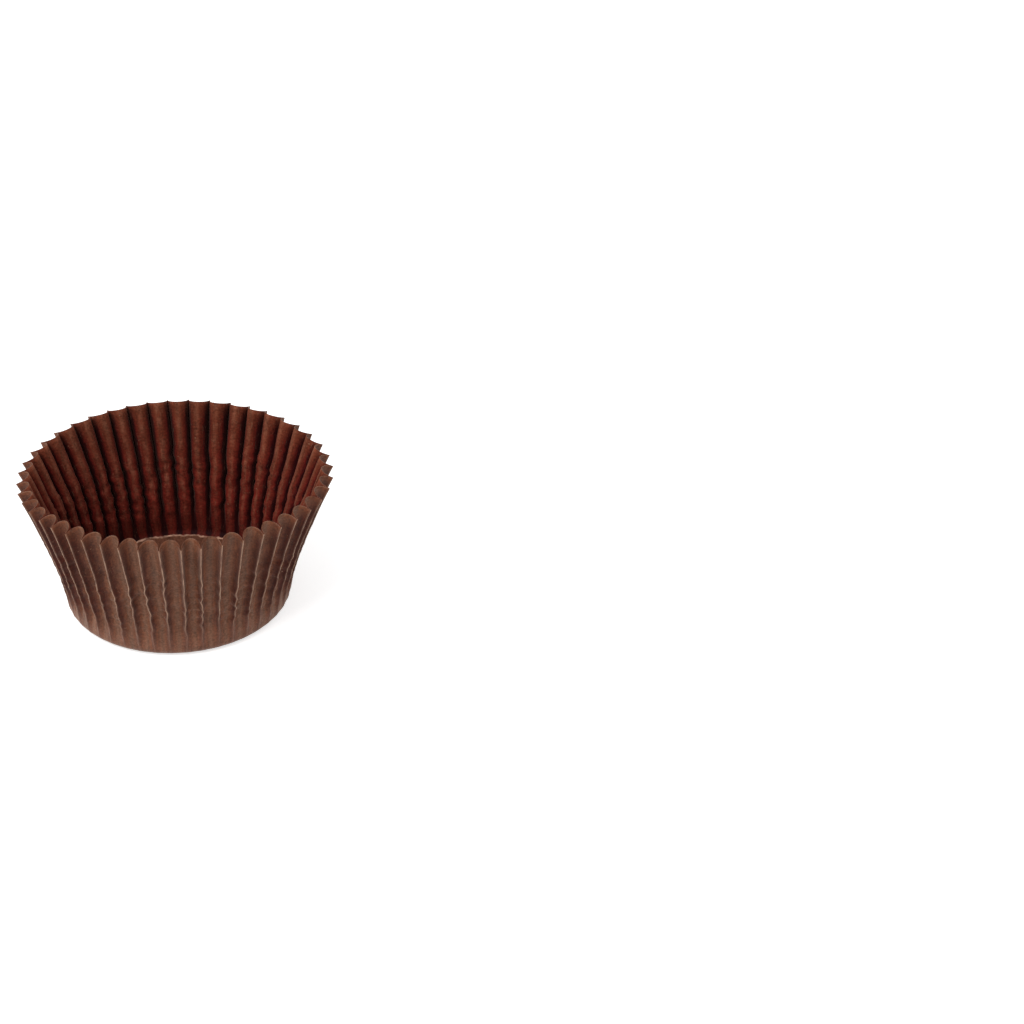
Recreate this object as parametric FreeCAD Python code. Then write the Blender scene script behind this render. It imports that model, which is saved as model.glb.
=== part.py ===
import FreeCAD, Part
import math
import os

# Pleated paper cup for baking: a flat round base, a soft fold all round it, and a
# flared wall of pleats. One sheet of paper, pressed from a flat disc. Millimetres,
# +Z up, origin at the middle of the base's underside. The rim is squeezed a little
# out of round, so that it is wider along X than along Y.

# Paper and base
PAPER = 0.07                # thickness of the greaseproof paper
BASE_RADIUS = 23.5          # flat round floor that the cup stands on
CORNER_RADIUS = 2.7         # soft fold between the floor and the wall

# Wall
FOOT_LEAN = 10.3            # lean of the wall from upright where it leaves the fold, degrees
WALL_SLANT = 32.0           # straight distance from the fold to the rim, along a ridge
RIM_HALF_WIDTH = 36.2       # axis to the ridge tips along X
RIM_HALF_DEPTH = 32.7       # axis to the ridge tips along Y

# Pleats: sharp ridges outside, with a rounded flute of paper between each two
PLEATS = 45
ARCH_STRETCH = 5.8          # (paper length ^2 - width ^2) / depth ^2 of a flute: half an ellipse
RIDGE_LOSS = 0.3            # height that the crinkled ridges lose against the smooth flutes

# Flat facets that follow the paper's curves
FLUTE_FACETS = 7            # across one flute
FOLD_FACETS = 4             # over the base fold
WALL_FACETS = 4             # up the wall

PITCH = 2.0 * math.pi / PLEATS
LEAN = math.radians(FOOT_LEAN)
UP = FreeCAD.Vector(0, 0, 1)


def place(radius, angle, height):
    return FreeCAD.Vector(radius * math.cos(angle), radius * math.sin(angle), height)


def fold_point(inset, share):
    """Radius and height at a share of the way round the base fold, inset from its outside."""
    turn = share * (math.pi / 2.0 - LEAN)
    radius = CORNER_RADIUS - inset
    return BASE_RADIUS + radius * math.sin(turn), CORNER_RADIUS - radius * math.cos(turn)


def rim_radius(angle):
    """Distance from the axis to the ridge tips in one direction, on the oval of the rim."""
    across = RIM_HALF_DEPTH * math.cos(angle)
    along = RIM_HALF_WIDTH * math.sin(angle)
    return RIM_HALF_WIDTH * RIM_HALF_DEPTH / math.hypot(across, along)


def climb(tip_radius):
    """Height that the paper gains when its fixed slant ends at the given radius."""
    return math.sqrt(WALL_SLANT ** 2 - (tip_radius - fold_point(0.0, 1.0)[0]) ** 2)


def ridge_point(angle, share):
    """Point on a ridge: it leaves the fold at the foot lean and flares on its way up."""
    foot_radius, foot_height = fold_point(0.0, 1.0)
    tip = rim_radius(angle)
    height = climb(tip)
    straight = height * math.tan(LEAN)
    flare = tip - foot_radius - straight
    radius = foot_radius + straight * share + flare * share ** 2
    return place(radius, angle, foot_height + height * share)


def flute_depth(width, share):
    """Depth of a flute that takes up all the paper between two ridges.

    The paper was a flat disc, so its length across one pleat is the pleat's share of the
    circle at that distance from the middle, while the ridges now stand closer together.
    """
    fold_length = CORNER_RADIUS * (math.pi / 2.0 - LEAN)
    paper_length = PITCH * (BASE_RADIUS + fold_length + WALL_SLANT * share)
    return math.sqrt((paper_length ** 2 - width ** 2) / ARCH_STRETCH)


def flute_points(left, right, angle, share):
    """Points across a flute between its two ridges, on half an ellipse."""
    along = FreeCAD.Vector(right.x - left.x, right.y - left.y, 0)
    width = along.Length
    along.normalize()
    inward = FreeCAD.Vector(-along.y, along.x, 0)
    depth = flute_depth(width, share)
    tip = rim_radius(angle)
    lift = (climb(tip - depth) - climb(tip) + RIDGE_LOSS) * share
    points = []
    for facet in range(1, FLUTE_FACETS):
        turn = math.pi * facet / FLUTE_FACETS
        run = along * (width / 2.0 * (1.0 - math.cos(turn)))
        rise = (inward * depth + UP * lift) * math.sin(turn)
        points.append(left + run + rise)
    return points


def wall_ring(share):
    """Closed ring of points at a share of the wall's slant, as ridge, flute, ridge, flute."""
    ring = []
    for count in range(PLEATS):
        left = ridge_point(count * PITCH, share)
        right = ridge_point((count + 1) * PITCH, share)
        ring.append(left)
        ring.extend(flute_points(left, right, (count + 0.5) * PITCH, share))
    return ring


def plain_ring(radius, height):
    return [place(radius, count * PITCH, height) for count in range(PLEATS)]


def unit_inward(start, end):
    return FreeCAD.Vector(start.y - end.y, end.x - start.x, 0).normalize()


def inner_ring(ring):
    """The ring moved to the paper's inner face. A crease stays within half a facet of the ring."""
    moved = []
    for count, point in enumerate(ring):
        previous = ring[count - 1]
        following = ring[(count + 1) % len(ring)]
        before = unit_inward(previous, point)
        after = unit_inward(point, following)
        mitre = (before + after) * (PAPER * math.cos(LEAN) / (1.0 + before.dot(after)))
        longest = min(point.distanceToPoint(previous), point.distanceToPoint(following)) / 2.0
        if mitre.Length > longest:
            mitre = mitre * (longest / mitre.Length)
        moved.append(point + mitre + UP * (PAPER * math.sin(LEAN)))
    return moved


def facet(*corners):
    return Part.Face(Part.makePolygon(list(corners) + [corners[0]]))


def plain_band(lower, upper):
    """Flat facets between two plain rings."""
    faces = []
    for count in range(PLEATS):
        faces.append(facet(lower[count - 1], lower[count], upper[count], upper[count - 1]))
    return faces


def foot_band(foot, ring):
    """Facets from the plain ring at the foot, where the flutes begin, to the first wall ring."""
    faces = []
    middle = FLUTE_FACETS // 2
    for count in range(PLEATS):
        left = foot[count]
        right = foot[(count + 1) % PLEATS]
        first = count * FLUTE_FACETS
        for step in range(FLUTE_FACETS):
            low = ring[first + step]
            high = ring[(first + step + 1) % len(ring)]
            if step < middle:
                faces.append(facet(left, high, low))
            elif step > middle:
                faces.append(facet(right, high, low))
            else:
                faces.append(facet(left, right, high))
                faces.append(facet(left, high, low))
    return faces


def wall_band(lower, upper):
    """Facets between two rings of the wall."""
    faces = []
    for count in range(len(lower)):
        faces.append(facet(lower[count - 1], lower[count], upper[count]))
        faces.append(facet(lower[count - 1], upper[count], upper[count - 1]))
    return faces


def sheet_side(inset, walls):
    """One side of the paper, from the floor over the fold and up its rings of the wall."""
    folds = [plain_ring(*fold_point(inset, step / FOLD_FACETS)) for step in range(FOLD_FACETS + 1)]
    faces = [facet(*folds[0])]
    for lower, upper in zip(folds, folds[1:]):
        faces.extend(plain_band(lower, upper))
    faces.extend(foot_band(folds[-1], walls[0]))
    for lower, upper in zip(walls, walls[1:]):
        faces.extend(wall_band(lower, upper))
    return faces


def paper_cup():
    outer_walls = [wall_ring(step / WALL_FACETS) for step in range(1, WALL_FACETS + 1)]
    inner_walls = [inner_ring(ring) for ring in outer_walls]
    outside = sheet_side(0.0, outer_walls)
    inside = sheet_side(PAPER, inner_walls)
    rim = wall_band(outer_walls[-1], inner_walls[-1])
    sheet = Part.makeCompound(outside + inside + rim)
    sheet.sewShape()
    return Part.makeSolid(sheet.Shells[0])


os.makedirs("parts", exist_ok=True)
cup = paper_cup()
cup.exportStep("parts/paper_cup.step")
size = cup.BoundBox
print("valid", cup.isValid(), "closed", cup.isClosed(), "faces", len(cup.Faces))
print("size %.2f x %.2f x %.2f mm" % (size.XLength, size.YLength, size.ZLength))
print("volume %.1f mm3, paper area %.0f mm2" % (cup.Volume, cup.Volume / PAPER))
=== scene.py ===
import math
import random

import bmesh
import bpy
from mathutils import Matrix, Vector, noise


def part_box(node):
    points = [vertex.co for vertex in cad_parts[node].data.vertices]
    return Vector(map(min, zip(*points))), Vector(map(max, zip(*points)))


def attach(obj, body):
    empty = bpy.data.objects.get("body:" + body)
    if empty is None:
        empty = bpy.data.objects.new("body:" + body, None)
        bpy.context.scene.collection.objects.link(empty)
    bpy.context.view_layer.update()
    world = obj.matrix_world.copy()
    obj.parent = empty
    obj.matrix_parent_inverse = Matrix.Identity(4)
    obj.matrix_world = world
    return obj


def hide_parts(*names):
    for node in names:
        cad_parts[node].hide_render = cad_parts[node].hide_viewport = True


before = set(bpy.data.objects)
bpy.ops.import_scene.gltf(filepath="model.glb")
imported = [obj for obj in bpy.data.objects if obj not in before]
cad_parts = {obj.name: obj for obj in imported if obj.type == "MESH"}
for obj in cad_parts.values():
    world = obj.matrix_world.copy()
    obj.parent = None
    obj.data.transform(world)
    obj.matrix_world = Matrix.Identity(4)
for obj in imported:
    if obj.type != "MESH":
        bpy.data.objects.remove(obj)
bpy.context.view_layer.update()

# Paper cup, the blank: one disc of greaseproof paper, dyed brown all through, cut flat.
# It is spun here as it leaves the cutter, sixteen steps to a pleat. Its rows are the floor,
# the fold round the floor and the wall, so that each can be pressed to its own shape.
mm = 0.001
floor_radius = 23.5 * mm
fold_radius = 2.7 * mm
foot_lean = math.radians(10.3)
wall_slant = 32.0 * mm
pleats = 45
pleat_steps = 16
floor_rows = (0.0, 9.0 * mm, 16.0 * mm, 20.0 * mm, 22.0 * mm)
fold_rows = 6
crumpled_share = 0.70
crumpled_rows = 42
straight_rows = 8
weld_distance = 0.0001 * mm

fold_turn = math.pi / 2.0 - foot_lean
fold_length = fold_radius * fold_turn
foot_distance = floor_radius + fold_length
foot_radius = floor_radius + fold_radius * math.sin(fold_turn)
foot_height = fold_radius * (1.0 - math.cos(fold_turn))
pleat_angle = 2.0 * math.pi / pleats
crumpled_slant = wall_slant * crumpled_share
straight_slant = wall_slant - crumpled_slant
straight_start = foot_distance + crumpled_slant

rows = list(floor_rows)
rows += [floor_radius + fold_length * count / fold_rows for count in range(fold_rows)]
rows += [foot_distance + crumpled_slant * count / crumpled_rows for count in range(crumpled_rows)]
rows += [straight_start + straight_slant * count / straight_rows for count in range(straight_rows + 1)]
rim_distance = rows[-1]

bm = bmesh.new()
line = [bm.verts.new((distance, 0.0, 0.0)) for distance in rows]
edges = [bm.edges.new(pair) for pair in zip(line, line[1:])]
bmesh.ops.spin(
    bm,
    geom=line + edges,
    cent=(0.0, 0.0, 0.0),
    axis=(0.0, 0.0, 1.0),
    angle=2.0 * math.pi,
    steps=pleats * pleat_steps,
    use_merge=True,
)
bmesh.ops.remove_doubles(bm, verts=bm.verts, dist=weld_distance)

# Paper cup, the ridges: the heated die folds the wall into 45 sharp ridges on an oval rim.
# A ridge takes up more paper than it has room for, so below about two thirds of the wall it
# buckles into kinks of its own. A hand has squeezed the cup, which turns the tips unevenly.
cup_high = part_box("paper_cup")[1]
rim_half_width = cup_high.x
rim_half_depth = cup_high.y
foot_turn = math.radians(-1.0)
squeeze_all_round = math.radians(0.84)
squeeze_once = math.radians(3.09)
squeeze_once_place = math.radians(130.0)
squeeze_twice = math.radians(1.59)
squeeze_twice_place = math.radians(70.0)
uneven_turn_degrees = 0.35
front_droop = 0.5 * mm
front_droop_power = 6
middle_bulge = 0.30 * mm
top_kink_shares = (0.50, 0.70)
lowest_kink_share = 0.10
low_kink_strength = 0.6
kink_widths = (0.07, 0.12, 0.20, 0.32)
kink_dent = 0.18
kink_steps = (0.028, 0.040, 0.060, 0.110)
kink_step_spread = (0.9, 1.2)
flute_depth_spread = (0.95, 1.05)
flute_skew_spread = (-0.04, 0.04)

dice = random.Random(45)


def squeeze(angle):
    """How far a ridge's tip is turned from its even place, in a cup that was squeezed."""
    first = squeeze_once * math.cos(angle - squeeze_once_place)
    second = squeeze_twice * math.cos(2.0 * angle + squeeze_twice_place)
    return squeeze_all_round + first + second


def rim_radius(angle):
    """Distance from the axis to the ridge tips, on the oval of the rim."""
    across = rim_half_depth * math.cos(angle)
    along = rim_half_width * math.sin(angle)
    return rim_half_width * rim_half_depth / math.hypot(across, along)


class Pleat:
    """One ridge and the flute after it, with what makes them differ from their neighbours."""

    def __init__(self, number):
        even = pleat_angle * number
        uneven = math.radians(dice.uniform(-uneven_turn_degrees, uneven_turn_degrees))
        self.foot_angle = even + foot_turn
        self.turn = squeeze(even) + uneven
        self.depth = dice.uniform(*flute_depth_spread)
        self.skew = dice.uniform(*flute_skew_spread)
        self.kinks = [(1.0, 0.0, 0.0)]
        share = dice.uniform(*top_kink_shares)
        side = dice.choice((-1.0, 1.0))
        while share > lowest_kink_share:
            strength = min(1.0, low_kink_strength + share)
            sideways = side * dice.choice(kink_widths) * strength * mm
            inward = dice.uniform(0.0, kink_dent) * strength * mm
            self.kinks.append((share, sideways, inward))
            share -= dice.choice(kink_steps) * dice.uniform(*kink_step_spread)
            side = -side
        self.kinks.append((0.0, 0.0, 0.0))

    def kink(self, share):
        """Sideways and inward offset of the ridge at a share of the wall."""
        for upper, lower in zip(self.kinks, self.kinks[1:]):
            if share >= lower[0]:
                part = (share - lower[0]) / (upper[0] - lower[0])
                sideways = lower[1] + (upper[1] - lower[1]) * part
                inward = lower[2] + (upper[2] - lower[2]) * part
                return sideways, inward
        return 0.0, 0.0


cup_pleats = [Pleat(number) for number in range(pleats)]


def ridge_place(number, share):
    """Place of a ridge at a share of the wall, with its kinks."""
    pleat = cup_pleats[number % pleats]
    angle = pleat.foot_angle + pleat.turn * share
    tip = rim_radius(angle)
    height = math.sqrt(wall_slant ** 2 - (tip - foot_radius) ** 2)
    straight = height * math.tan(foot_lean)
    flare = tip - foot_radius - straight
    droop = front_droop * max(0.0, -math.sin(angle)) ** front_droop_power * share ** 2
    sideways, inward = pleat.kink(share)
    bulge = middle_bulge * (4.0 * share * (1.0 - share)) ** 2
    radius = foot_radius + straight * share + flare * share ** 2 + bulge - inward
    angle += sideways / radius
    level = foot_height + height * share - droop
    return Vector((radius * math.cos(angle), radius * math.sin(angle), level))


# Paper cup, the flutes: rounded gutters of paper between the ridges, each as deep as half an
# ellipse of all the paper there. They begin shallow and flat in the fold round the floor and
# are fully round a third of the way up. Low down they are loose, and wander in depth.
arch_stretch = 5.8
ridge_half_width = 0.17 * mm
ridge_round = 0.11 * mm
ridge_steps = 1.5
round_share_end = 0.3
crown_shift = 0.12
crown_lift = 1.15 * mm
foot_depth_share = 0.4
full_depth_share = 0.15
loose_end = (0.55, 0.75)
wander_length = 3.5 * mm
wander_stride = 7.3
depth_wander = 0.12
depth_seed = 3.0
skew_wander = 0.07
skew_seed = 8.0


def smooth_step(value, low, high):
    """0 at low and 1 at high, with a soft start and a soft end between them."""
    share = min(1.0, max(0.0, (value - low) / (high - low)))
    return share * share * (3.0 - 2.0 * share)


def flute_depth(paper, width):
    """Depth of an arch that takes up the given length of paper between its two ridges."""
    return math.sqrt(max(0.0, paper ** 2 - width ** 2) / arch_stretch)


def across_flute(step, share):
    """Run from ridge to ridge and depth of the arch, both as shares, at one step across."""
    even = (step - ridge_steps) / (pleat_steps - 2.0 * ridge_steps)
    round_share = smooth_step(share, 0.0, round_share_end)
    rounded = (1.0 - math.cos(math.pi * even)) / 2.0
    run = even + (rounded - even) * round_share
    bow = 1.0 - (2.0 * run - 1.0) ** 2
    return run, bow ** (1.0 - 0.5 * round_share)


def off_crown(step, share):
    """0 on the crown of a flute and 1 on its ridges, with the crown a little past the middle."""
    if step <= 1 or step == pleat_steps - 1:
        return 1.0
    side = 2.0 * across_flute(step, share)[0] - 1.0 - crown_shift
    if side > 0.0:
        return side / (1.0 - crown_shift)
    return -side / (1.0 + crown_shift)


def wander(number, height, seed):
    """A smooth value that changes up a flute, from -1 to 1."""
    return noise.noise(Vector((number * wander_stride, seed, height / wander_length)))


def wall_place(number, step, share):
    """Place on the wall, on a ridge or across the flute after it."""
    left = ridge_place(number, share)
    if step == 0:
        return left
    right = ridge_place(number + 1, share)
    pleat = cup_pleats[number]
    run_out = right - left
    width = run_out.to_2d().length
    along = Vector((run_out.x, run_out.y, 0.0)) / width
    inward = Vector((-along.y, along.x, 0.0))
    rise = Vector((0.0, 0.0, run_out.z * step / pleat_steps))
    if step == 1:
        return left + rise + along * ridge_half_width + inward * ridge_round
    if step == pleat_steps - 1:
        return left + rise + along * (width - ridge_half_width) + inward * ridge_round
    paper = (foot_distance + wall_slant * share) * pleat_angle
    loose = 1.0 - smooth_step(share, *loose_end)
    depth = flute_depth(paper, width) * pleat.depth
    depth *= foot_depth_share + (1.0 - foot_depth_share) * smooth_step(share, 0.0, full_depth_share)
    depth *= 1.0 + depth_wander * loose * wander(number, left.z, depth_seed)
    run, dent = across_flute(step, share)
    skew = pleat.skew * share + skew_wander * loose * wander(number, left.z, skew_seed)
    offset = ridge_half_width + (width - 2.0 * ridge_half_width) * run
    offset += width * skew * dent ** 2
    reach = ridge_round + (depth - ridge_round) * dent
    rise.z += crown_lift * share * dent
    return left + rise + along * offset + inward * reach


def fold_place(number, step, share):
    """Place on the fold round the floor: an arc, with the flutes just beginning."""
    angle = cup_pleats[number].foot_angle + pleat_angle * step / pleat_steps
    turn = fold_turn * share
    dent = 0.0
    if 1 < step < pleat_steps - 1:
        dent = across_flute(step, 0.0)[1]
    foot_depth = flute_depth(foot_distance * pleat_angle, foot_radius * pleat_angle)
    reach = foot_depth_share * foot_depth * share ** 3 * dent
    radius = floor_radius + (fold_radius - reach) * math.sin(turn)
    height = fold_radius - (fold_radius - reach) * math.cos(turn)
    return Vector((radius * math.cos(angle), radius * math.sin(angle), height))


# Paper cup, the crumples: small dents that the spare paper makes beside the ridges, with flat
# facets like crushed foil up to the middle of the wall and finer upright wrinkles low down.
# They are strongest on the flutes' flanks, and nearly gone on the crowns and the ridges.
facet_size = 1.1 * mm
facet_squash = 0.5
facet_middle = 0.4
facet_height = 0.42 * mm
facet_start = (0.0, 0.25)
wrinkles_round = 40.0
wrinkle_length = 5.0 * mm
wrinkle_height = 0.18 * mm
wrinkle_start = (0.0, 0.1)
wrinkle_end = (0.2, 0.6)
crown_crumple = 0.30
flank_crumple = 3.0


def crumple(place, share):
    """How far the wall is dented out or in at a place."""
    cell = Vector((place.x, place.y, place.z * facet_squash)) / facet_size
    facets = noise.noise(cell, noise_basis="VORONOI_F2F1") - facet_middle
    facets_share = (1.0 - smooth_step(share, *loose_end)) * smooth_step(share, *facet_start)
    angle = math.atan2(place.y, place.x)
    round_x = math.cos(angle) * wrinkles_round
    round_y = math.sin(angle) * wrinkles_round
    wrinkle = noise.noise(Vector((round_x, round_y, place.z / wrinkle_length)))
    wrinkle_share = (1.0 - smooth_step(share, *wrinkle_end)) * smooth_step(share, *wrinkle_start)
    return facet_height * facets * facets_share + wrinkle_height * wrinkle * wrinkle_share


# Paper cup, the pressing: every point of the blank goes to its place on the fold or the wall,
# and the wall leans a little to one side. Each point keeps its place on the flat sheet, how
# much it is rubbed and how deep it lies in a fold. The paper's thickness goes to the inside.
side_lean = 0.0273
row_slack = 0.01 * mm
foot_wear = 0.15
full_wear_share = 0.45
beside_ridge_wear = 0.3
fold_depth_start = (0.2, 0.45)
paper_thickness = 0.06 * mm

flat_place = bm.verts.layers.float_vector.new("flat_place")
ridge_wear = bm.verts.layers.float.new("ridge_wear")
fold_depth = bm.verts.layers.float.new("fold_depth")
step_angle = pleat_angle / pleat_steps
wear_across = {0: 1.0, 1: beside_ridge_wear, pleat_steps - 1: beside_ridge_wear}
for vert in bm.verts:
    flat = vert.co.copy()
    distance = flat.to_2d().length
    index = round(math.atan2(flat.y, flat.x) / step_angle) % (pleats * pleat_steps)
    number, step = divmod(index, pleat_steps)
    wear = wear_across.get(step, 0.0)
    vert[flat_place] = flat
    if distance < floor_radius - row_slack:
        continue
    if distance < foot_distance - row_slack:
        share = max(0.0, (distance - floor_radius) / fold_length)
        vert.co = fold_place(number, step, share)
        vert[ridge_wear] = wear * foot_wear * share
        vert[fold_depth] = off_crown(step, 0.0) * smooth_step(share, *fold_depth_start)
    else:
        share = max(0.0, (distance - foot_distance) / wall_slant)
        off = off_crown(step, share)
        vert.co = wall_place(number, step, share)
        outward = Vector((vert.co.x, vert.co.y, 0.0)).normalized()
        crumpled = crown_crumple + flank_crumple * off * (1.0 - off)
        vert.co += outward * crumple(vert.co, share) * crumpled
        upper_wear = smooth_step(share, 0.0, full_wear_share)
        vert[ridge_wear] = wear * (foot_wear + (1.0 - foot_wear) * upper_wear)
        vert[fold_depth] = off
    vert.co.x += side_lean * vert.co.z

bmesh.ops.recalc_face_normals(bm, faces=bm.faces)
floor_face = min(bm.faces, key=lambda face: face.calc_center_median().length)
if floor_face.normal.z > 0.0:
    bmesh.ops.reverse_faces(bm, faces=bm.faces)
for face in bm.faces:
    face.smooth = True
cup_mesh = bpy.data.meshes.new("paper_cup_sheet")
bm.to_mesh(cup_mesh)
bm.free()
cup = bpy.data.objects.new("paper_cup_sheet", cup_mesh)
bpy.context.scene.collection.objects.link(cup)

paper = cup.modifiers.new("paper", "SOLIDIFY")
paper.thickness = paper_thickness
paper.offset = -1.0
paper.use_even_offset = True
paper.material_offset = 1

# Paper cup, the paper itself: brown greaseproof paper, hard pressed. It is cloudy and mottled
# where the pulp is uneven, drawn out in streaks up the wall by the die, with pale fibres, a few
# pale specks and a fine grain. All of it follows the flat sheet, as it was there before folding.
fibre_pale = (0.34, 0.18, 0.11, 1.0)
sheen_tint = (1.0, 0.74, 0.58, 1.0)
sheen_roughness = 0.5
cloud_scale = 300.0
cloud_share = 0.14
mottle_scale = 2000.0
mottle_share = 0.38
streaks_round = 55.0
streaks_along = 150.0
streak_share = 0.22
streak_fade = 4.0 * mm
fibre_scale = 1200.0
fibre_half_width = 0.020
fibre_patch_scale = 500.0
fibre_share = 0.30
speck_scale = 520.0
speck_share = 0.6
rough_least = 0.46
rough_most = 0.60
patch_scale = 3.0
cut_edge_width = 0.25 * mm
cut_edge_full = 0.05 * mm
cut_edge_share = 0.16
grain_scale = 2600.0
grain_mottle = 0.15
grain_strength = 0.7
grain_height = 0.04 * mm


class NodeDesk:
    """A node tree with short ways to add the few kinds of node that the paper needs."""

    def __init__(self, tree):
        self.tree = tree

    def feed(self, socket, value):
        if isinstance(value, (int, float, tuple)):
            socket.default_value = value
        else:
            self.tree.links.new(value, socket)

    def cloud(self, place, scale, detail, roughness):
        node = self.tree.nodes.new("ShaderNodeTexNoise")
        self.feed(node.inputs["Vector"], place)
        self.feed(node.inputs["Scale"], scale)
        self.feed(node.inputs["Detail"], detail)
        self.feed(node.inputs["Roughness"], roughness)
        return node.outputs["Fac"]

    def spread(self, value, low, high, to_low, to_high):
        node = self.tree.nodes.new("ShaderNodeMapRange")
        self.feed(node.inputs["Value"], value)
        self.feed(node.inputs["From Min"], low)
        self.feed(node.inputs["From Max"], high)
        self.feed(node.inputs["To Min"], to_low)
        self.feed(node.inputs["To Max"], to_high)
        return node.outputs["Result"]

    def work_out(self, operation, first, second=0.0):
        node = self.tree.nodes.new("ShaderNodeMath")
        node.operation = operation
        self.feed(node.inputs[0], first)
        self.feed(node.inputs[1], second)
        return node.outputs["Value"]

    def mix(self, amount, first, second, blend_type="MIX"):
        node = self.tree.nodes.new("ShaderNodeMix")
        node.data_type = "RGBA"
        node.blend_type = blend_type
        self.feed(node.inputs["Factor"], amount)
        self.feed(node.inputs["A"], first)
        self.feed(node.inputs["B"], second)
        return node.outputs["Result"]

    def attribute(self, name, output):
        node = self.tree.nodes.new("ShaderNodeAttribute")
        node.attribute_name = name
        return node.outputs[output]


def make_greaseproof():
    """Node group: tone, fibres, streaks and grain of the paper, on the flat sheet's own place."""
    tree = bpy.data.node_groups.new("greaseproof", "ShaderNodeTree")
    sockets = tree.interface
    sockets.new_socket("Place", in_out="INPUT", socket_type="NodeSocketVector")
    for name in ("Tone", "Fibres", "Roughness", "Patches", "Distance", "Cut edge"):
        sockets.new_socket(name, in_out="OUTPUT", socket_type="NodeSocketFloat")
    sockets.new_socket("Normal", in_out="OUTPUT", socket_type="NodeSocketVector")
    source = tree.nodes.new("NodeGroupInput")
    result = tree.nodes.new("NodeGroupOutput")
    desk = NodeDesk(tree)
    place = source.outputs["Place"]

    clouds = desk.spread(desk.cloud(place, cloud_scale, 3.0, 0.6), 0.33, 0.67, -1.0, 1.0)
    mottle = desk.spread(desk.cloud(place, mottle_scale, 3.0, 0.65), 0.30, 0.70, -1.0, 1.0)

    direction = tree.nodes.new("ShaderNodeVectorMath")
    direction.operation = "NORMALIZE"
    desk.feed(direction.inputs[0], place)
    length = tree.nodes.new("ShaderNodeVectorMath")
    length.operation = "LENGTH"
    desk.feed(length.inputs[0], place)
    distance = length.outputs["Value"]
    parts = tree.nodes.new("ShaderNodeSeparateXYZ")
    desk.feed(parts.inputs["Vector"], direction.outputs["Vector"])
    ray = tree.nodes.new("ShaderNodeCombineXYZ")
    desk.feed(ray.inputs["X"], desk.work_out("MULTIPLY", parts.outputs["X"], streaks_round))
    desk.feed(ray.inputs["Y"], desk.work_out("MULTIPLY", parts.outputs["Y"], streaks_round))
    desk.feed(ray.inputs["Z"], desk.work_out("MULTIPLY", distance, streaks_along))
    ray_place = ray.outputs["Vector"]
    streaks = desk.spread(desk.cloud(ray_place, 1.0, 2.0, 0.6), 0.30, 0.70, -1.0, 1.0)

    tone = desk.work_out("MULTIPLY", clouds, cloud_share)
    tone = desk.work_out("ADD", tone, desk.work_out("MULTIPLY", mottle, mottle_share))
    streaks_here = desk.spread(distance, floor_radius - streak_fade, floor_radius, 0.0, streak_share)
    tone = desk.work_out("ADD", tone, desk.work_out("MULTIPLY", streaks, streaks_here))
    desk.feed(result.inputs["Tone"], desk.work_out("ADD", tone, 1.0))

    level = desk.work_out("SUBTRACT", desk.cloud(place, fibre_scale, 1.0, 0.5), 0.5)
    fibre_line = desk.spread(desk.work_out("ABSOLUTE", level), 0.0, fibre_half_width, 1.0, 0.0)
    fibre_patches = desk.cloud(place, fibre_patch_scale, 1.0, 0.5)
    fibre_places = desk.spread(fibre_patches, 0.48, 0.68, 0.0, fibre_share)
    fibres = desk.work_out("MULTIPLY", fibre_line, fibre_places)
    dots = tree.nodes.new("ShaderNodeTexVoronoi")
    desk.feed(dots.inputs["Vector"], place)
    desk.feed(dots.inputs["Scale"], speck_scale)
    few = desk.spread(dots.outputs["Color"], 0.66, 0.68, 0.0, speck_share)
    round_dots = desk.spread(dots.outputs["Distance"], 0.05, 0.11, 1.0, 0.0)
    specks = desk.work_out("MULTIPLY", round_dots, few)
    desk.feed(result.inputs["Fibres"], desk.work_out("MAXIMUM", fibres, specks))

    desk.feed(result.inputs["Distance"], distance)
    desk.feed(result.inputs["Roughness"], desk.spread(mottle, -1.0, 1.0, rough_most, rough_least))
    desk.feed(result.inputs["Patches"], desk.cloud(ray_place, patch_scale, 3.0, 0.7))

    edge_start = rim_distance - cut_edge_width
    edge_end = rim_distance - cut_edge_full
    cut_edge = desk.spread(distance, edge_start, edge_end, 0.0, cut_edge_share)
    pale_places = desk.spread(desk.cloud(place, cloud_scale, 2.0, 0.6), 0.46, 0.56, 0.0, 1.0)
    desk.feed(result.inputs["Cut edge"], desk.work_out("MULTIPLY", cut_edge, pale_places))

    coarse = desk.work_out("MULTIPLY", mottle, grain_mottle)
    grain = desk.work_out("ADD", desk.cloud(place, grain_scale, 4.0, 0.6), coarse)
    bump = tree.nodes.new("ShaderNodeBump")
    desk.feed(bump.inputs["Strength"], grain_strength)
    desk.feed(bump.inputs["Distance"], grain_height)
    desk.feed(bump.inputs["Height"], grain)
    desk.feed(result.inputs["Normal"], bump.outputs["Normal"])
    return tree


greaseproof = make_greaseproof()


def start_paper(name, specular, sheen):
    """A paper material, with the greaseproof group on the sheet's flat place."""
    material = bpy.data.materials.new(name)
    material.use_nodes = True
    desk = NodeDesk(material.node_tree)
    surface = material.node_tree.nodes["Principled BSDF"]
    surface.inputs["Specular IOR Level"].default_value = specular
    surface.inputs["Sheen Weight"].default_value = sheen
    surface.inputs["Sheen Roughness"].default_value = sheen_roughness
    surface.inputs["Sheen Tint"].default_value = sheen_tint
    sheet = material.node_tree.nodes.new("ShaderNodeGroup")
    sheet.node_tree = greaseproof
    desk.feed(sheet.inputs["Place"], desk.attribute("flat_place", "Vector"))
    desk.feed(surface.inputs["Roughness"], sheet.outputs["Roughness"])
    desk.feed(surface.inputs["Normal"], sheet.outputs["Normal"])
    return material, desk, surface, sheet


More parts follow.
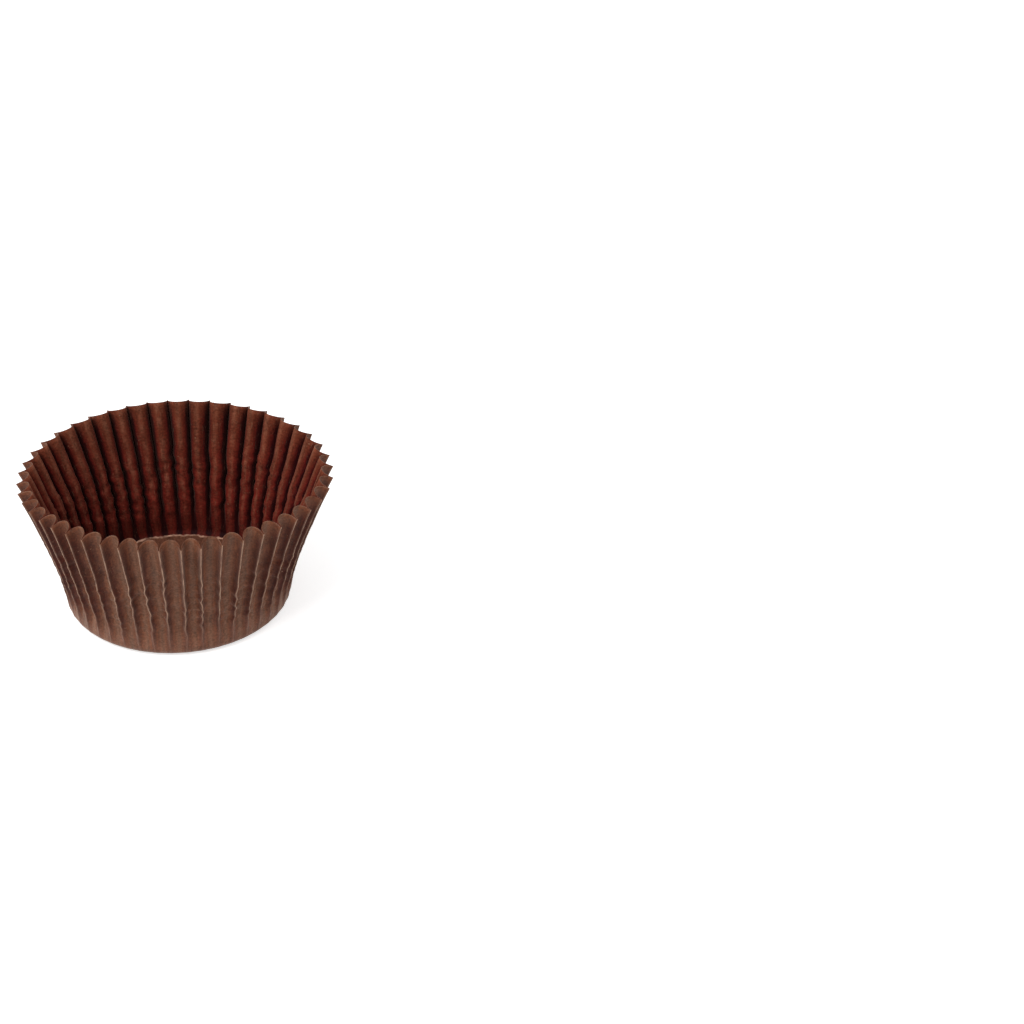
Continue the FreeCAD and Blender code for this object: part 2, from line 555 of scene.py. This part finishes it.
def dye(desk, sheet, body):
    """The paper's colour: the body's, cloudy with the sheet's tone, with its pale fibres."""
    toned = desk.mix(1.0, body, sheet.outputs["Tone"], "MULTIPLY")
    return desk.mix(sheet.outputs["Fibres"], toned, fibre_pale)


# Paper cup, the outside: grey-brown on the crowns of the flutes, with painted shade that darkens
# their slopes and makes their flanks dark red-brown, and painted light at the foot from the white
# table.
# The dye is worn off along the ridges and in places on the cut edge. The paper has a faint sheen seen
# from the side.
outside_specular = 0.20
outside_sheen = 0.26
outside_crown_lit = (0.158, 0.066, 0.035, 1.0)
outside_slope_half_shade = (0.142, 0.043, 0.017, 1.0)
outside_flank_shade = (0.060, 0.008, 0.003, 1.0)
outside_foot_bounce_light = (0.230, 0.105, 0.072, 1.0)
ridge_pale = (0.50, 0.31, 0.21, 1.0)
foot_light_band = 7.0 * mm
foot_light_below = 1.0 * mm
outside_rim_band = 3.5 * mm

outside, desk, surface, sheet = start_paper("brown_paper_outside", outside_specular, outside_sheen)
distance = sheet.outputs["Distance"]
patches = sheet.outputs["Patches"]
uneven = desk.spread(patches, 0.3, 0.7, -0.16, 0.16)
depth = desk.work_out("ADD", desk.attribute("fold_depth", "Fac"), uneven)
above_foot = desk.spread(distance, foot_distance, foot_distance + foot_light_band, 0.4, 1.0)
below_rim = desk.spread(distance, rim_distance - outside_rim_band, rim_distance, 1.0, 0.2)
# Painted shade: each flute darkens from its crown towards the ridges, where shade falls in the fold.
# The shade is weaker at the foot and the rim.
painted_flank_shade = desk.spread(depth, 0.52, 0.92, 0.0, 1.0)
painted_flank_shade = desk.work_out("MULTIPLY", painted_flank_shade, above_foot)
painted_flank_shade = desk.work_out("MULTIPLY", painted_flank_shade, below_rim)
painted_slope_shade = desk.mix(desk.spread(depth, 0.12, 0.48, 0.0, 1.0), outside_crown_lit, outside_slope_half_shade)
body = desk.mix(painted_flank_shade, painted_slope_shade, outside_flank_shade)
# Painted light: the foot is paler in uneven patches, as if lit from below by the white table.
foot_light_end = foot_distance + foot_light_band
painted_foot_light = desk.spread(distance, foot_light_end, foot_distance - foot_light_below, 0.0, 1.0)
painted_foot_light = desk.work_out("MULTIPLY", painted_foot_light, desk.spread(patches, 0.38, 0.66, 0.0, 0.45))
dyed = dye(desk, sheet, desk.mix(painted_foot_light, body, outside_foot_bounce_light))
rubbed = desk.spread(patches, 0.40, 0.56, 0.15, 1.0)
rubbed = desk.work_out("MULTIPLY", rubbed, desk.attribute("ridge_wear", "Fac"))
rubbed = desk.work_out("MAXIMUM", rubbed, sheet.outputs["Cut edge"])
desk.feed(surface.inputs["Base Color"], desk.mix(rubbed, dyed, ridge_pale))
cup_mesh.materials.append(outside)

# Paper cup, the inside: matt and red-brown, with painted red that stands in for light bounced about
# inside the cup, strongest low down, and browner near the rim. Painted shade makes the flanks dark red
# and the slots behind the ridges almost black. The crowns, which stand into the cup, carry a painted
# highlight, and the paper is scratched pale in places. The floor is plain brown, with an uneven pale
# crease all round it where the die pressed it, brightened by a painted highlight where the fold
# catches the light.
inside_specular = 0.03
inside_sheen = 0.08
inside_top = (0.150, 0.039, 0.019, 1.0)
inside_low_bounce_red = (0.155, 0.018, 0.011, 1.0)
inside_flank_shade = (0.108, 0.009, 0.007, 1.0)
inside_crown_highlight = (0.300, 0.120, 0.070, 1.0)
inside_slot_shade = (0.028, 0.003, 0.004, 1.0)
floor_brown = (0.120, 0.045, 0.026, 1.0)
floor_crease_pale_and_lit = (0.62, 0.36, 0.25, 1.0)
floor_crease_share = 0.33
bounce_red_fade_start = 9.0 * mm
bounce_red_fade_end = 33.0 * mm
flank_shade_rim_band = (5.0 * mm, 0.5 * mm)
slot_rim_band = (3.5 * mm, 0.2 * mm)
highlight_foot_band = 12.0 * mm
highlight_patch_scale = 420.0
crease_wobble = 0.5 * mm
crease_wobble_scale = 160.0
crease_core = 0.10 * mm
crease_edge = 0.36 * mm
crease_patch_scale = 450.0
floor_edge_blur = 0.2 * mm
shade_above = 4.0 * mm
shade_below = 1.0 * mm
shade_least = 0.58

inside, desk, surface, sheet = start_paper("brown_paper_inside", inside_specular, inside_sheen)
distance = sheet.outputs["Distance"]
patches = sheet.outputs["Patches"]
place = desk.attribute("flat_place", "Vector")
depth = desk.attribute("fold_depth", "Fac")

# Painted light: the inside is redder low down, in place of light bounced about deep in the cup.
rise = desk.spread(distance, foot_distance + bounce_red_fade_start, foot_distance + bounce_red_fade_end, 0.0, 1.0)
body = desk.mix(rise, inside_low_bounce_red, inside_top)
# Painted shade: the flanks beside the slots turn dark red where the folds shade them, less so near the
# rim.
flank_shade_start = rim_distance - flank_shade_rim_band[0]
flank_shade_end = rim_distance - flank_shade_rim_band[1]
flank_shade_share = desk.spread(distance, flank_shade_start, flank_shade_end, 1.0, 0.15)
painted_flank_shade = desk.work_out("MULTIPLY", desk.spread(depth, 0.25, 0.70, 0.0, 1.0), flank_shade_share)
body = desk.mix(painted_flank_shade, body, inside_flank_shade)

# Painted highlight: pale brown patches on the crowns, where they catch the light.
above_fold = desk.spread(distance, foot_distance, foot_distance + highlight_foot_band, 0.2, 1.0)
painted_crown_highlight = desk.spread(desk.cloud(place, highlight_patch_scale, 4.0, 0.70), 0.40, 0.62, 0.06, 0.55)
painted_crown_highlight = desk.work_out("MULTIPLY", painted_crown_highlight, desk.spread(depth, 0.06, 0.34, 1.0, 0.0))
painted_crown_highlight = desk.work_out("MULTIPLY", painted_crown_highlight, above_fold)
body = desk.mix(painted_crown_highlight, body, inside_crown_highlight)

crease_distance = floor_radius + fold_length * floor_crease_share
wobble_cloud = desk.cloud(place, crease_wobble_scale, 3.0, 0.7)
wobble = desk.spread(wobble_cloud, 0.3, 0.7, -crease_wobble, crease_wobble)
off_crease = desk.work_out("SUBTRACT", distance, wobble)
off_crease = desk.work_out("SUBTRACT", off_crease, crease_distance)
on_floor = desk.spread(off_crease, -floor_edge_blur, floor_edge_blur, 1.0, 0.0)
dyed = dye(desk, sheet, desk.mix(on_floor, body, floor_brown))

# Painted shade: the slots behind the ridges are almost black, less so just under the rim.
slot_start = rim_distance - slot_rim_band[0]
slot_end = rim_distance - slot_rim_band[1]
below_rim = desk.spread(distance, slot_start, slot_end, 1.0, 0.25)
uneven = desk.spread(patches, 0.3, 0.7, -0.12, 0.12)
uneven_depth = desk.work_out("ADD", depth, uneven)
painted_slot_shade = desk.work_out("MULTIPLY", desk.spread(uneven_depth, 0.62, 0.80, 0.0, 1.0), below_rim)
dyed = desk.mix(painted_slot_shade, dyed, inside_slot_shade)

shade_start = foot_distance + shade_above
shade_end = foot_distance - shade_below
low_shade = desk.spread(distance, shade_start, shade_end, 1.0, shade_least)
low_shade = desk.work_out("MAXIMUM", low_shade, on_floor)
dyed = desk.mix(1.0, dyed, low_shade, "MULTIPLY")

on_wall = desk.spread(distance, floor_radius, foot_distance, 0.0, 1.0)
scratches = desk.work_out("MULTIPLY", desk.spread(patches, 0.60, 0.74, 0.0, 0.35), on_wall)
scratches = desk.work_out("MAXIMUM", scratches, sheet.outputs["Cut edge"])
scratched = desk.mix(scratches, dyed, fibre_pale)

# The crease is pale where the die pressed it, with a painted highlight where the fold catches the
# light.
pressed = desk.spread(desk.cloud(place, crease_patch_scale, 2.0, 0.6), 0.38, 0.60, 0.15, 1.0)
pale_and_lit_crease = desk.spread(desk.work_out("ABSOLUTE", off_crease), crease_core, crease_edge, 1.0, 0.0)
pale_and_lit_crease = desk.work_out("MULTIPLY", pale_and_lit_crease, pressed)
desk.feed(surface.inputs["Base Color"], desk.mix(pale_and_lit_crease, scratched, floor_crease_pale_and_lit))
cup_mesh.materials.append(inside)
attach(cup, "root")
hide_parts("paper_cup")

# Table: a plain white sweep, matt, wide enough for every view. It takes the cup's shadow.
# Seen by the camera it gives a little light of its own, so that the open part is white.
table_half = 2.0
table_drop = 0.05 * mm
table_white = (0.82, 0.82, 0.82, 1.0)
table_roughness = 0.9
table_glow = 0.62
plain_white = (1.0, 1.0, 1.0, 1.0)

bm = bmesh.new()
bmesh.ops.create_grid(bm, x_segments=1, y_segments=1, size=table_half)
bmesh.ops.translate(bm, verts=bm.verts, vec=(0.0, 0.0, -table_drop))
table_mesh = bpy.data.meshes.new("table")
bm.to_mesh(table_mesh)
bm.free()
table = bpy.data.objects.new("table", table_mesh)
bpy.context.scene.collection.objects.link(table)

white = bpy.data.materials.new("table_white")
white.use_nodes = True
nodes = white.node_tree.nodes
links = white.node_tree.links
matt = nodes["Principled BSDF"]
matt.inputs["Base Color"].default_value = table_white
matt.inputs["Roughness"].default_value = table_roughness
matt.inputs["Specular IOR Level"].default_value = 0.0
matt.inputs["Emission Color"].default_value = plain_white


def seen_by_eye(tree):
    """1 for rays from the camera, a mirror or glass, 0 for light that falls on something."""
    path = tree.nodes.new("ShaderNodeLightPath")
    either = tree.nodes.new("ShaderNodeMath")
    either.operation = "MAXIMUM"
    tree.links.new(path.outputs["Is Camera Ray"], either.inputs[0])
    tree.links.new(path.outputs["Is Glossy Ray"], either.inputs[1])
    through = tree.nodes.new("ShaderNodeMath")
    through.operation = "MAXIMUM"
    tree.links.new(either.outputs["Value"], through.inputs[0])
    tree.links.new(path.outputs["Is Transmission Ray"], through.inputs[1])
    return through.outputs["Value"]


glow = nodes.new("ShaderNodeMath")
glow.operation = "MULTIPLY"
glow.inputs[1].default_value = table_glow
links.new(seen_by_eye(white.node_tree), glow.inputs[0])
links.new(glow.outputs["Value"], matt.inputs["Emission Strength"])
table_mesh.materials.append(white)

# Studio: a white room seen by the camera, dimmer as light, and one large soft lamp high up
# in front and to the left, so that the inside is brighter on its right.
room_light = 0.65
lamp_watts = 33.0
lamp_size = 1.4
lamp_place = Vector((-0.95, -1.0, 1.95))

world = bpy.data.worlds.new("white_room")
bpy.context.scene.world = world
world.use_nodes = True
sky = world.node_tree.nodes["Background"]
sky.inputs["Color"].default_value = plain_white
level = world.node_tree.nodes.new("ShaderNodeMapRange")
level.inputs["To Min"].default_value = room_light
level.inputs["To Max"].default_value = 1.0
world.node_tree.links.new(seen_by_eye(world.node_tree), level.inputs["Value"])
world.node_tree.links.new(level.outputs["Result"], sky.inputs["Strength"])

softbox = bpy.data.lights.new("softbox", "AREA")
softbox.shape = "SQUARE"
softbox.size = lamp_size
softbox.energy = lamp_watts
softbox_object = bpy.data.objects.new("softbox", softbox)
softbox_object.location = lamp_place
softbox_object.rotation_euler = (-lamp_place).to_track_quat("-Z", "Y").to_euler()
bpy.context.scene.collection.objects.link(softbox_object)

# Camera: a short telephoto, level from side to side, looking down on the cup, which stands
# in the left part of the frame.
image_pixels = 1024.0
focal_pixels = 3101.0
looking_down = math.radians(32.34)
base_distance = 726.0 * mm
base_pixel = (179.6, 593.7)

camera = bpy.data.cameras.new("camera")
camera.sensor_fit = "HORIZONTAL"
camera.sensor_width = 36.0
camera.lens = camera.sensor_width * focal_pixels / image_pixels
camera.clip_start = 0.01
camera.clip_end = 20.0
camera_object = bpy.data.objects.new("camera", camera)
right_offset = (base_pixel[0] - image_pixels / 2.0) / focal_pixels * base_distance
down_offset = (base_pixel[1] - image_pixels / 2.0) / focal_pixels * base_distance
ahead = Vector((0.0, math.cos(looking_down), -math.sin(looking_down)))
down = Vector((0.0, -math.sin(looking_down), -math.cos(looking_down)))
right = Vector((1.0, 0.0, 0.0))
camera_object.location = -(ahead * base_distance + right * right_offset + down * down_offset)
camera_object.rotation_euler = (math.pi / 2.0 - looking_down, 0.0, 0.0)
bpy.context.scene.collection.objects.link(camera_object)
bpy.context.scene.camera = camera_object
bpy.context.scene.view_settings.view_transform = "Standard"
